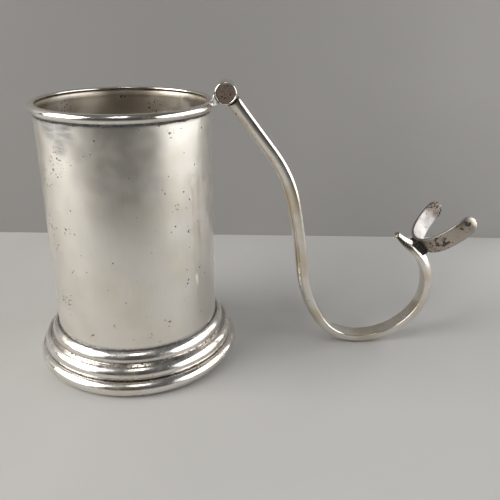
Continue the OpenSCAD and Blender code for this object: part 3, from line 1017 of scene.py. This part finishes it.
def make_cradle():
    """The strip is bent to a fork, round at both tips, thinner and worn towards them."""
    end = sum(radius * math.radians(angle) for radius, angle in (ROOT_BEND, ARM_BEND))
    half_w = STRIP_W / 2
    arm = list(np.linspace(0, end - half_w, 26))[:-1]
    arm += [end - half_w * (1 - math.sin(math.radians(a))) for a in np.linspace(0, 88, 14)]
    place = cradle_place()
    rings = []
    is_back = []
    far_tip = []
    for s in [-s for s in reversed(arm[1:])] + arm:
        x, y, heading = at_length(s)
        past = max(0, abs(s) - (end - half_w))
        width = 2 * math.sqrt(max(0, half_w ** 2 - past ** 2))
        thick = STRIP_T * (1 - 0.18 * (abs(s) / end) ** 2)
        if past > 0:
            thick *= 0.55 + 0.45 * width / STRIP_W
        ring = []
        for t, w in strip_section(max(width, 0.35), thick):
            point = Vector((x - t * math.cos(heading), y + t * math.sin(heading), w))
            point.x += 0.05 * unevenness((x, y, w), 6, 40)
            ring.append(tuple(place @ point))
            is_back.append(t > 0.49 * thick)
            far_tip.append(0.62 * eased(s, end - 12, end - 5))
        rings.append(ring)
    points, faces = skin_rings(rings)
    far_tip += [0, far_tip[-1]]
    # Tarnish on the far tip; round the root, tarnish by the solder pad together with painted shade for the
    # root's shadow and the handle's dark reflection.
    dirt = [max(aged, 0.9 * falloff(math.dist(p, PAD_MIDDLE), 5.6, 4)) for p, aged in zip(points, far_tip)]
    piece = new_piece("cradle_strip", points, faces, "handle", ("cradle",), dirt)
    wear(piece, CRADLE_PLATE, CRADLE_BACK)
    for face in piece.data.polygons:
        face.material_index = int(all(i < len(is_back) and is_back[i] for i in face.vertices))


# ---- the stage ----

CAMERA_PLACE = (50.75, -262.3, 167.5)
CAMERA_PITCH = 23.58
CAMERA_HEADING = -1.5
CAMERA_ROLL = 0.68
LENS = 41.05
TABLE_CORNERS = [(-900, -900, 0), (1000, -900, 0), (1000, 900, 0), (-900, 900, 0)]
WALL_CORNERS = [(-900, 152, 0), (275, 152, 0), (275, 152, 520), (-900, 152, 520)]
# Painted shade and light on the stage planes: where along its axis each plane's tone fades, and the share of
# the tone at the dim end.
# The table's painted shade: it darkens towards the camera and past it, where only the silver's reflections
# see it.
TABLE_PAINTED_SHADE_Y = (-330, -165)
TABLE_PAINTED_SHADE_SHARE = 0.3
TABLE_TONE = (0.43, 0.4225, 0.411)
# The wall's painted light: it grows lighter towards the right, as if lit from that side.
WALL_PAINTED_LIGHT_X = (-30, 300)
WALL_PAINTED_SHADE_SHARE = 0.74
WALL_TONE = (0.335, 0.327, 0.317)
# The room's tone from below to overhead, by the height of the direction looked in.
ROOM_TONES = {0.0: (0.055, 0.05, 0.046), 0.35: (0.075, 0.072, 0.07), 0.9: (0.115, 0.115, 0.115)}
ROOM_SEEN = (0.33, 0.325, 0.32)
WARM_LIGHT = (1.0, 0.985, 0.955)
COOL_LIGHT = (0.99, 0.995, 1.0)
WHITE_LIGHT = (1.0, 1.0, 1.0)
# Each light's name, place and aim in metres, width, height, power and colour.
LIGHTS = [
    ("window_left", (-0.85, -0.32, 0.55), (0.0, -0.1, 0.1), 0.85, 0.85, 17.0, WARM_LIGHT),
    ("window_right", (0.62, 0.03, 0.24), (0.0, 0.03, 0.10), 1.13, 0.44, 4.6, COOL_LIGHT),
    ("strip_right", (0.6, -0.06, 0.5), (0.0, -0.06, 0.10), 0.7, 0.07, 0.5, COOL_LIGHT),
    ("strip_front", (0.02, -0.62, 0.85), (0.0, 0.0, 0.05), 0.22, 0.05, 0.5, WHITE_LIGHT),
    ("strip_above", (0.02, -0.42, 1.0), (0.0, 0.0, 0.05), 0.22, 0.05, 0.5, WHITE_LIGHT),
]


def make_camera():
    data = bpy.data.cameras.new("camera")
    data.lens = LENS
    data.sensor_width = 36
    data.clip_start = 0.005
    camera = linked("camera", data)
    camera.matrix_world = (
        Matrix.Translation(Vector(CAMERA_PLACE) * MM)
        @ Matrix.Rotation(math.radians(CAMERA_HEADING), 4, "Z")
        @ Matrix.Rotation(math.radians(90 - CAMERA_PITCH), 4, "X")
        @ Matrix.Rotation(math.radians(CAMERA_ROLL), 4, "Z"))
    bpy.context.scene.camera = camera


def stage_plane(name, corners, colour, axis, fade, share, one_sided=False):
    """A matt plane, faintly mottled, with painted shade: it fades along its own axis to a share of its
    colour.
    """
    mesh = bpy.data.meshes.new(name)
    mesh.from_pydata([tuple(MM * c for c in p) for p in corners], [], [(0, 1, 2, 3)])
    plane = linked(name, mesh)
    plane.rotation_euler[2] = math.radians(CAMERA_HEADING)
    it = Finish(name, 0.85, metallic=0.0)
    it.shader.inputs["Specular IOR Level"].default_value = 0.15
    mottled = it.span(it.cloud(140, 4), 0.3, 0.7)
    tone = it.mix(mottled, colour, tuple(0.94 * c for c in colour))
    # Painted shade and light: the tone falls to a share of itself towards the low end of the fade.
    split = it.node("ShaderNodeSeparateXYZ", it.place)
    painted_light_share = it.span(split.outputs[axis], *(MM * at for at in fade))
    tone = it.mix(painted_light_share, tuple(share * c for c in colour), tone)
    it.bump(it.cloud(0.5, 3), 0.01)
    mesh.materials.append(it.finish(tone))
    if one_sided:
        choice = it.node("ShaderNodeMixShader", it.node("ShaderNodeNewGeometry").outputs["Backfacing"],
                         it.shader.outputs[0], it.node("ShaderNodeBsdfTransparent").outputs[0])
        it.feed(it.tree.nodes["Material Output"].inputs["Surface"], choice.outputs[0])


def soft_light(name, place, target, width, height, power, colour):
    """A rectangular lamp that the camera doesn't see."""
    data = bpy.data.lights.new(name, "AREA")
    data.shape = "RECTANGLE"
    data.size, data.size_y = width, height
    data.energy = power
    data.color = colour
    lamp = linked(name, data)
    lamp.location = place
    lamp.rotation_euler = (Vector(target) - Vector(place)).to_track_quat("-Z", "Y").to_euler()
    lamp.visible_camera = False


def make_world():
    """A dim room, a little brighter overhead. The camera itself sees plain grey."""
    world = bpy.data.worlds.new("room")
    world.use_nodes = True
    bpy.context.scene.world = world
    nodes, links = world.node_tree.nodes, world.node_tree.links
    split = nodes.new("ShaderNodeSeparateXYZ")
    links.new(nodes.new("ShaderNodeTexCoord").outputs["Generated"], split.inputs[0])
    shades = nodes.new("ShaderNodeValToRGB")
    links.new(split.outputs["Z"], shades.inputs[0])
    stops = shades.color_ramp.elements
    stops.remove(stops[1])
    for height in list(ROOM_TONES)[1:]:
        stops.new(height)
    for stop, tone in zip(stops, ROOM_TONES.values()):
        stop.color = (*tone, 1)
    seen = nodes.new("ShaderNodeMix")
    seen.data_type = "RGBA"
    links.new(nodes.new("ShaderNodeLightPath").outputs["Is Camera Ray"], seen.inputs[0])
    links.new(shades.outputs[0], seen.inputs[6])
    seen.inputs[7].default_value = (*ROOM_SEEN, 1)
    links.new(seen.outputs[2], nodes["Background"].inputs["Color"])


def make_stage():
    """A table, a wall, the room and the lights, seen in plain tones."""
    bpy.context.scene.view_settings.view_transform = "Standard"
    # The table carries painted shade towards the camera, and the wall painted light towards the right.
    stage_plane("table", TABLE_CORNERS, TABLE_TONE, 1, TABLE_PAINTED_SHADE_Y, TABLE_PAINTED_SHADE_SHARE)
    stage_plane("backdrop", WALL_CORNERS, WALL_TONE, 0, WALL_PAINTED_LIGHT_X, WALL_PAINTED_SHADE_SHARE, one_sided=True)
    make_world()
    for light in LIGHTS:
        soft_light(*light)


make_camera()
make_stage()
make_drum()
make_floor()
make_rim()
seam_solder("rim_solder", NECK_R + 0.02, RIM_Z - RIM_R + 0.2, 0.7, 1.35, 50)
make_moulding()
seam_solder("moulding_solder", BASE_R + 0.01, MOULDING_Z - 0.12, 0.34, -0.42, 60)
make_foot()
make_outer_knuckle("knuckle_front", "rim_knuckle_front", 1)
make_outer_knuckle("knuckle_rear", "rim_knuckle_rear", -1)
make_cap("pin_end_front", "pin_cap_front", 1)
make_cap("pin_end_rear", "pin_cap_rear", -1)
make_middle_knuckle()
make_tenon()
make_tongue()
make_bar()
make_cradle()
wear(softened_copy("solder_pad", "cradle_solder", "handle", 0.2, 4), SOLDER)
frame["nodes"]["hinge_pin"].data.materials.clear()
wear(frame["nodes"]["hinge_pin"], PIN_METAL)
